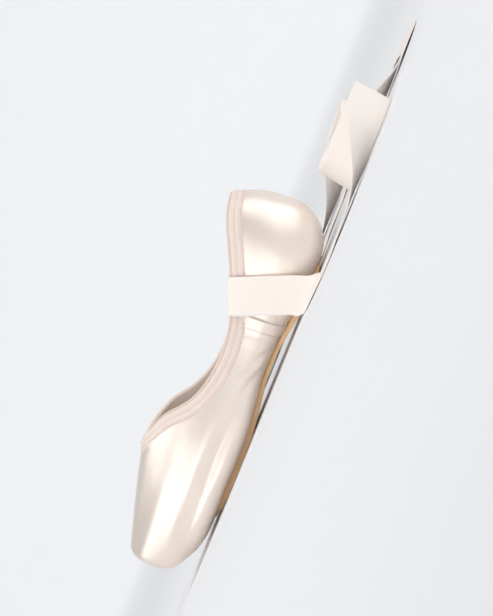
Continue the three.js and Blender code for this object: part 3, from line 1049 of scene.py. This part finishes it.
@dataclass
class Binding:
    """The folded casing round the collar, with the drawstring's channel along its edge."""

    last: Last
    count: int = 520
    rows: int = 32
    proud: float = 0.45
    cord_depth: float = 1.7
    cord_height: float = 0.75
    edge_round: float = 0.8

    def outer_height(self, depth: Array, walked: Array) -> Array:
        """Height of the casing above the satin at a depth below its edge.

        The cord makes a bell near the edge, a groove and a sunk row of stitches lie below it, the
        lower edge is rounded off, and small gathers cross the band.

        Args:
            depth: Distances below the collar's edge.
            walked: Distances along the collar.

        Returns:
            The height in millimetres.
        """
        band = self.proud + self.cord_height * bell(depth - self.cord_depth, 1.25)
        sunk = 0.24 * bell(depth - CASING_GROOVE, 0.45) + 0.18 * bell(depth - CASING_STITCHES, 0.35)
        past = np.clip((depth - CASING_DEPTH + self.edge_round) / self.edge_round, 0, 1)
        swell = 0.4 + 0.6 * np.sin(walked * 0.083) ** 2
        gathers = np.sin(walked * 1.35 + 1.5 * np.sin(walked * 0.21)) * swell
        return (band - sunk + 0.09 * gathers * smoothstep(0, 2, depth)) * np.sqrt(1 - past**2)

    def build(self) -> Piece:
        """Makes the band as a closed profile carried round the collar.

        Returns:
            The binding.
        """
        points, normals, down = self.last.collar_rows(self.count, CASING_DEPTH, self.rows)
        depth = np.linspace(0, CASING_DEPTH, self.rows + 1)[:, None]
        walked = walk(points[0])[None, :]
        wall = self.last.wall(points[..., 0])
        height = self.outer_height(depth, walked)
        outer = points + normals * height[..., None]
        lip = self.proud * np.sqrt(np.clip(1 - (depth / CASING_DEPTH) ** 6, 0, 1))
        inner = points - normals * (wall + lip + 0.05)[..., None]
        behind = wall[0] + self.proud
        radius = (height[0] + behind) / 2
        middle = points[0] + normals[0] * ((height[0] - behind) / 2)[:, None]
        bends = np.linspace(0, np.pi, 12)[1:-1][:, None, None]
        rim = middle + (np.cos(bends) * normals[0] - np.sin(bends) * down[0]) * radius[:, None]
        profile = np.concatenate([outer[::-1], rim, inner], axis=0)
        lengths = np.linalg.norm(np.diff(profile, axis=0), axis=-1).mean(axis=1)
        across = np.abs(np.concatenate([[0], np.cumsum(lengths)]) - lengths[:self.rows].sum())[:, None]
        uv = join(walked, across).reshape(-1, 2)
        faces = grid_faces(len(profile), self.count, wrap_rows=True, wrap_columns=True)
        band = make_piece("collar_binding", profile.reshape(-1, 3), faces[:, ::-1], uv)
        return dress(band, CASING.material(), "binding")


@dataclass
class Stitching:
    """The row of stitches that holds the casing, joined in one mesh."""

    last: Last
    height: float = 0.45
    pitch: float = 2.6
    length: float = 1.9
    radius: float = 0.17
    arch: float = 0.28
    sunk: float = 0.12
    sections: int = 6
    ring: int = 6

    def build(self) -> Piece:
        """Makes the stitches as short arched tubes.

        Each stitch is a tube whose middle follows line + s along + lift (1 - (2s)^2) normal.

        Returns:
            The joined stitches.
        """
        rows, normals, _ = self.last.collar_rows(520, CASING_STITCHES, 8)
        above = np.vstack([normals[-1], normals[-1][:1]])
        line = np.vstack([rows[-1], rows[-1][:1]]) + above * self.height
        walked = walk(line)
        count = int(walked[-1] // self.pitch)
        at = (np.arange(count) + 0.5) * self.pitch
        centre, up = sample(at, walked, line), unit(sample(at, walked, above))
        along = unit(sample(at + self.pitch / 4, walked, line) - centre)
        axes = np.stack([along, np.cross(up, along), up], axis=1)
        s = np.linspace(-0.5, 0.5, self.sections)[:, None]
        swell = self.radius * np.sqrt(np.clip(1.02 - (2 * s) ** 4, 0, 1))
        lift = self.arch * (1 - (2 * s) ** 2) - self.sunk
        turn = circle(self.ring)
        local = join(s * self.length, swell * np.cos(turn), lift + swell * np.sin(turn))
        points = centre[:, None, None] + np.einsum("rck,nkd->nrcd", local, axes)
        one = grid_faces(self.sections, self.ring, wrap_columns=True)
        faces = one[None] + self.sections * self.ring * np.arange(count)[:, None, None]
        stitches = make_piece("binding_stitches", points.reshape(-1, 3), faces.reshape(-1, 4))
        return dress(stitches, THREAD.material())


@dataclass
class Slab:
    """A flat piece with a plan outline, as a disc of rays from its middle."""

    last: Last
    back: float
    front: float
    rays: int = 240
    rings: int = 26

    def plan(self, half: Curve) -> tuple[Array, Array, Array]:
        """Spreads a disc over the outline.

        x = middle + reach r cos(t), and y = half(x) r sin(t) / (1 - (r cos t)^2)^(1/2).

        Args:
            half: Half width of the outline at x.

        Returns:
            Share from the middle, x and y, each of rings by rays.
        """
        share = np.sqrt(np.linspace(0, 1, self.rings))[:, None]
        turn = circle(self.rays)
        along = share * np.cos(turn)
        across = share * np.sin(turn) / np.sqrt(np.maximum(1 - along**2, 1e-9))
        x = (self.back + self.front) / 2 + (self.front - self.back) / 2 * along
        return np.broadcast_to(share, x.shape), x, half(x) * np.clip(across, -1, 1)


@dataclass
class Outsole(Slab):
    """The short leather outsole, glued flat to the lasted edge."""

    back: float = OUTSOLE_PLAN["x"][0]
    front: float = OUTSOLE_PLAN["x"][-1]
    bevel: float = 0.9
    mean_half: float = 20.0
    skive: float = 1.3
    skived_toe: float = 10.0
    skived_heel: float = 9.0
    glue: float = 0.1

    def underside(self, x: Array, y: Array) -> Array:
        """Height of the last's underside over a place in plan.

        Args:
            x: Places along the shoe.
            y: Distances from its middle.

        Returns:
            The height in millimetres.
        """
        part = self.last.section(x)
        share = np.clip(1 - (np.abs(y) / part["half"]) ** part["under"], 0, 1)
        return part["widest"] - (part["widest"] - part["sole"]) * share ** (1 / part["under"])

    def build(self) -> Piece:
        """Makes the sole: its tread, a rounded edge, and a top that follows the last.

        Returns:
            The outsole.
        """
        _, x, y = self.plan(outsole_half)
        thinned = smoothstep(self.front - self.skived_toe, self.front, x)
        thinned += smoothstep(self.back + self.skived_heel, self.back, x)
        height = self.last.rise(x) + self.skive * thinned
        middle, inset = (self.back + self.front) / 2, 1 - self.bevel / self.mean_half
        tread = join(middle + (x - middle) * inset, y * inset, height)
        top = join(x, y, self.underside(x, y) - self.glue)
        low, start, outline = height[-1], tread[-1, :, :2], top[-1, :, :2]
        bend = np.linspace(0, np.pi / 2, 6)[1:, None]
        share = np.linspace(0, 1, 5)[1:, None]
        out = np.concatenate([np.sin(bend), np.ones_like(share)])[..., None]
        rounded = low + self.bevel * (1 - np.cos(bend))
        upright = low + self.bevel + (top[-1, :, 2] - low - self.bevel) * share
        edge = np.concatenate([
            start + (outline - start) * out, np.concatenate([rounded, upright])[..., None]
        ], axis=-1)
        sheets = np.concatenate([tread, edge, top[::-1][1:]], axis=0)
        mark = np.zeros(sheets.shape[:2])
        mark[self.rings:self.rings + len(edge)] = 1.0
        mark[self.rings - 1] = 0.7
        sole = make_rings("leather_outsole", sheets, {"edge": mark})
        return dress(sole, SOLE_LEATHER.material(), "outsole")


@dataclass
class Insole(Slab):
    """The sock lining that lies inside on the lasted edge."""

    back: float = -94.0
    front: float = 92.0
    end_reach: float = 26.0
    board: float = 1.8
    share: float = 0.66
    dish: float = 1.2
    clear: float = 0.35
    edge_share: float = 0.07

    def straight_half(self, x: Array) -> Array:
        """Half width of the insole before its ends are rounded: a share of the last's."""
        width = self.last.columns["width"]((x - self.last.heel) / self.last.length)
        return width * self.last.ball_width / 2 * self.share

    def half(self, x: Array) -> Array:
        """Half width of the insole, with its rounded ends.

        Args:
            x: Places along the shoe.

        Returns:
            The half width in millimetres, 0 beyond the ends.
        """
        past_back, past_front = self.back + self.end_reach - x, x - self.front + self.end_reach
        ends = closing(past_back, self.end_reach, 2.4) * closing(past_front, self.end_reach, 2.4)
        return self.straight_half(x) * ends

    def build(self) -> Piece:
        """Makes the board with a dished top and a rounded edge.

        Returns:
            The insole.
        """
        share, x, y = self.plan(self.half)
        floor = self.last.section(x)["sole"] + self.last.wall(x) + self.clear
        dish = self.dish * (np.abs(y) / self.straight_half(x)) ** 3
        past = np.clip((share - 1 + self.edge_share) / self.edge_share, 0, 1)
        low = floor + 0.9 * dish
        top = np.maximum(floor + dish + self.board * np.sqrt(1 - past**2), low + 0.02)
        sheets = np.concatenate([join(x, y, low), join(x, y, top)[::-1]])
        return dress(make_rings("insole_board", sheets), SOCK.material(), "insole")


# ---------------------------------------------------------------- ribbons
# The way down the quarter, as rows of x, distance out and height.
DROP = ((-58.5, 29.4, 21), (-63.4, 30.0, 9.5), (-66.0, 31.4, 3.6))
# How far the width lies along the fold at the floor, from the first row of the drop on.
FOLD_SHARES = (0.25, 0.8, 1.0, 1.0, 0.5)
# Then rows of x, distance out, degrees on edge and lift.
FLOOR_LEFT = (
    (-69, 36, 0, 0.3), (-73, 46, 0, 0), (-80, 57, 0, 0), (-92, 66, 0, 0), (-108, 70, 0, 0.4),
    (-126, 69, 4, 0.4), (-143, 65, 20, 0), (-158, 60, 46, 0), (-171, 54, 68, 0), (-180, 44, 80, 0),
    (-184, 30, 84, 0), (-180, 16, 84, 0), (-170, 6, 82, 0), (-157, 1, 76, 0), (-145, -1, 74, 0),
    (-133, -7, 78, 0), (-126, -19, 82, 0), (-129, -33, 82, 0), (-140, -42, 76, 0),
    (-154, -44, 60, 0), (-172, -43, 30, 0), (-191, -47, 6, 0), (-206, -60, 0, 0.5),
    (-213, -80, 0, 0), (-212, -102, 0, 0), (-206, -122, 0, 0.4), (-200, -140, 0, 0),
)
FLOOR_RIGHT = (
    (-69, 36, 0, 0.3), (-73, 46, 0, 0), (-80, 58, 0, 0), (-91, 70, 0, 0), (-106, 81, 0, 0),
    (-125, 91, 5, 0.6), (-144, 101, 24, 0), (-158, 115, 56, 0), (-164, 133, 80, 0),
    (-157, 150, 82, 0), (-140, 160, 70, 0), (-119, 159, 46, 0), (-97, 149, 18, 0),
    (-76, 136, 3, 0.6), (-53, 124, 0, 0), (-28, 115, 0, 0), (-2, 110, 0, 0.5), (24, 109, 0, 0),
    (48, 113, 0, 0), (66, 119, 0, 0.4),
)


@dataclass
class Ribbon:
    """A satin ribbon sewn inside its quarter, turned over the collar and laid on the floor."""

    last: Last
    name: str
    node: str
    side: int
    floor: Sequence[tuple[float, float, float, float]]
    real_length: float = 0.48
    width: float = 22.0
    cloth: float = 0.5
    crossing: float = -50.0
    slope: float = -0.42
    fold: float = 3.4
    inside: float = 15.0
    tacked: float = 2.2
    slack: float = 3.0
    crown: float = 0.8
    crown_at: float = 48.0
    crown_reach: float = 24.0
    ripple: float = 0.30
    selvedge: float = 0.35
    lowest: float = 0.06
    steps: int = 12
    columns: int = 17

    def places(self) -> tuple[Array, Array]:
        """The route's points and the direction across the ribbon at each, on the +Y side.

        Returns:
            Points and unit vectors.
        """
        across = unit(np.array([1.0, 0.05, self.slope]))
        down = unit(np.array([self.slope, 0.0, -1.0]))
        x = np.array(self.crossing)
        half, height = float(self.last.collar_half(x)), float(self.last.collar_height(x))
        middle = np.array([self.crossing, half - float(self.last.wall(x)) / 2, height - 1])
        points = [
            middle + down * self.inside - (0, self.tacked, 0),
            middle + down * self.inside / 2 - (0, self.slack, 0),
        ]
        for turn in np.linspace(np.pi, 0, 7):
            points.append(middle + (0, math.cos(turn) * self.fold, 0) - down * math.sin(turn) * self.fold)
        points += [np.array(place) for place in DROP]
        directions = [across] * len(points)
        rows = np.asarray(self.floor, float)
        heading = unit(np.gradient(rows[:, :2], axis=0))
        edge = np.radians(rows[:, 2])
        level = join(heading[:, 1], -heading[:, 0]) * np.cos(edge)[:, None]
        rest = 0.1 + self.cloth * np.cos(edge) + rows[:, 3] + self.width / 2 * np.sin(edge)
        points = np.vstack([points, np.column_stack([rows[:, :2], rest])])
        directions = np.vstack([directions, np.column_stack([level, np.sin(edge)])])
        first = len(points) - len(rows) - len(DROP)
        shares = np.array(FOLD_SHARES)[:, None]
        near = slice(first, first + len(shares))
        directions[near] = unit(directions[near] * (1 - shares) + np.array([1.0, 0, 0]) * shares)
        return points, directions

    def smooth(self, rows: Array, walked: Array) -> Array:
        """Carries a smooth curve through rows: cubics with the slopes of the rows' own spacing.

        Args:
            rows: Points or directions of the route.
            walked: Distance along the route at each row.

        Returns:
            The curve, with self.steps rows for each stretch.
        """
        slope = np.gradient(rows, walked, axis=0)[:, None]
        gap = np.diff(walked)[:, None, None]
        share = np.linspace(0, 1, self.steps, endpoint=False)[None, :, None]
        start, end = rows[:-1, None], rows[1:, None]
        rise = smoothstep(0, 1, share)
        bend = share * (1 - share) * ((1 - share) * slope[:-1] - share * slope[1:]) * gap
        return np.vstack([(start + (end - start) * rise + bend).reshape(-1, 3), rows[-1]])

    def build(self) -> Piece:
        """Makes the ribbon as a thin closed strip along its route.

        Its faces bow by a hair across the width, and its woven edges are a little thicker.

        Returns:
            The ribbon.
        """
        points, directions = self.places()
        spaced = walk(points)
        route, across = self.smooth(points, spaced), self.smooth(directions, spaced)
        walked = walk(route)
        ahead = unit(np.gradient(route, walked, axis=0))
        square = across - ahead * (across * ahead).sum(-1, keepdims=True)
        across = across / np.linalg.norm(square, axis=-1, keepdims=True)
        face = unit(np.cross(ahead, across))
        v = np.linspace(-1, 1, self.columns)
        thick = self.cloth / 2 * (1 + self.selvedge * bell(np.abs(v) - 0.93, 0.06))
        thick[[0, -1]] = 0.04
        ripple = self.ripple * np.sin(walked[:, None] * 0.16 + 1.0 + 1.3 * v) * (v**2 - 0.4)
        crown = self.crown * bell(walked - self.crown_at, self.crown_reach)[:, None] * (1 - v**2)
        flat = route[:, None] + across[:, None] * (v * self.width / 2)[:, None]
        flat = flat + face[:, None] * (ripple - crown)[..., None]
        half_cloth = face[:, None] * thick[:, None]
        loop = np.concatenate([flat + half_cloth, (flat - half_cloth)[:, ::-1]], axis=1)
        loop[..., 2] = np.maximum(loop[..., 2], self.lowest)
        loop[..., 1] *= self.side
        cells = grid_faces(len(route), 2 * self.columns, wrap_columns=True)
        offset = (len(route) - 1) * 2 * self.columns
        j = np.arange(self.columns - 1)
        start = join(j, 2 * self.columns - 1 - j, 2 * self.columns - 2 - j, j + 1)
        faces = np.vstack([cells, start, start[:, ::-1] + offset])
        across_uv = np.concatenate([v, v[::-1]])[None, :] * self.width / 2
        uv = join(walked[:, None], across_uv).reshape(-1, 2)
        faces = faces[:, ::-1] if self.side > 0 else faces
        ribbon = make_piece(self.name, loop.reshape(-1, 3), faces, uv)
        dress(ribbon, bpy.data.materials.get("ribbon") or RIBBON.material(), self.node)
        log.info("%s runs %.3f m", self.name, walked[-1] * MM)
        return ribbon


# ---------------------------------------------------------------- stage, light and camera
@dataclass
class Studio:
    """A seamless pale floor and backdrop with soft light and the camera."""

    roll: float = 68.0
    distance: float = 1.7
    frame_height: float = 0.345
    target: tuple[float, float, float] = (-0.043, 0.0, 0.030)
    elevation: float = 1.0
    azimuth: float = 8.0
    film: float = 24.0
    flat: float = 0.4
    sweep: float = 2.2
    edge: float = 4.0
    steepness: float = 0.6
    glow: float = 0.40
    lit: tuple[float, float, float] = (0.0, 0.0, 0.03)
    air: Colour = (0.93, 0.94, 0.96)

    def camera(self) -> Piece:
        """Sets the camera at floor level, a little behind the shoe's side, rolled toe down.

        Returns:
            The camera.
        """
        tilt, turn, roll = map(math.radians, (self.elevation, self.azimuth, self.roll))
        level = Vector((-math.cos(turn), -math.sin(turn), 0))
        back = Vector((level.y, -level.x, 0)) * math.cos(tilt) + Vector((0, 0, math.sin(tilt)))
        upright = back.cross(level)
        right = level * math.cos(roll) - upright * math.sin(roll)
        up = level * math.sin(roll) + upright * math.cos(roll)
        data = bpy.data.cameras.new("camera")
        data.sensor_fit = "VERTICAL"
        data.sensor_height = self.film
        data.lens = self.film * self.distance / self.frame_height
        data.clip_start = 0.05
        camera = add_object("camera", data)
        place = Matrix((right, up, back)).transposed().to_4x4()
        place.translation = Vector(self.target) + back * self.distance
        camera.matrix_world = place
        bpy.context.scene.camera = camera
        return camera

    def floor(self) -> Piece:
        """Makes the floor, which curves up into a backdrop on every side far away.

        Its height is 0 near the shoe and grows as (r - sweep)^2 further out. It glows a little
        with distance, mostly behind the shoe, so that floor and backdrop look alike.

        Returns:
            The floor.
        """
        near, far = np.linspace(self.flat, self.sweep, 5), np.linspace(self.sweep + 0.1, self.edge, 16)
        r, t = np.meshgrid(np.concatenate([[0.0], near, far]), circle(96), indexing="ij")
        height = np.clip(r - self.sweep, 0, None) ** 2 * self.steepness
        floor = make_rings("floor", join(r * np.cos(t), r * np.sin(t), height) / MM)
        kit = Nodes("floor")
        place = kit.add("TexCoord", "Object", {})
        grey = kit.mix(kit.noise(place, 3.0, 2.0), (0.86, 0.865, 0.88), (0.88, 0.885, 0.895))
        distant = kit.ramp(kit.add("VectorMath", "Value", {0: place}, operation="LENGTH"), 0.35, 2.4)
        behind = kit.ramp(kit.along(place, (0, -1, 0)), -0.6, 0.4)
        share = kit.math("MULTIPLY_ADD", behind, 0.7, 0.3)
        kit.put(kit.shader, {
            "Base Color": grey, "Roughness": 0.75, "Specular IOR Level": 0.2, "Emission Color": self.air,
            "Emission Strength": kit.math("MULTIPLY", kit.math("MULTIPLY", distant, share), self.glow),
        })
        floor.data.materials.append(kit.material)
        return floor

    def lamp(
        self, name: str, place: Sequence[float], size: Sequence[float], watts: float, spread: float = 180.0
    ) -> None:
        """Hangs a soft rectangular light that points at the shoe.

        Args:
            name: The light's name.
            place: Where it hangs.
            size: Its width and height.
            watts: Its power.
            spread: The angle of its beam, in degrees.
        """
        data = bpy.data.lights.new(name, "AREA")
        data.shape = "RECTANGLE"
        data.size, data.size_y = size
        data.energy = watts
        data.spread = math.radians(spread)
        lamp = add_object(name, data)
        lamp.location = place
        lamp.rotation_euler = (Vector(self.lit) - Vector(place)).to_track_quat("-Z", "Y").to_euler()

    def light(self) -> None:
        """Sets the lights and the pale surroundings."""
        self.lamp("top", (0.1, 0.0, 1.9), (1.3, 1.2), 14)
        self.lamp("key", (0.90, 1.55, 0.72), (2.2, 0.26), 4.1, spread=80)
        self.lamp("heel", (-1.7, 0.35, 0.55), (1.6, 0.7), 11)
        world = bpy.data.worlds.new("surroundings")
        world.use_nodes = True
        surroundings = world.node_tree.nodes["Background"].inputs
        surroundings["Color"].default_value = (*self.air, 1)
        surroundings["Strength"].default_value = 0.35
        bpy.context.scene.world = world
        bpy.context.scene.view_settings.view_transform = "Standard"


def main() -> None:
    """Builds the studio, the ribbons and the shoe, and reports each piece."""
    logging.basicConfig(level=logging.INFO, format="%(message)s")
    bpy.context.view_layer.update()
    studio = Studio()
    studio.camera()
    low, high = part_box("upper")
    last = Last(length=(high[0] - low[0]) / MM)
    parts = (
        Ribbon(last, "satin_ribbon_left", "ribbon_left", 1, FLOOR_LEFT),
        Ribbon(last, "satin_ribbon_right", "ribbon_right", -1, FLOOR_RIGHT),
        Upper(last), Binding(last), Outsole(last), Insole(last), Stitching(last),
    )
    for part in parts:
        piece = part.build()
        log.info("%s: %d faces", piece.name, len(piece.data.polygons))
    studio.floor()
    studio.light()


if __name__ == "__main__":
    main()
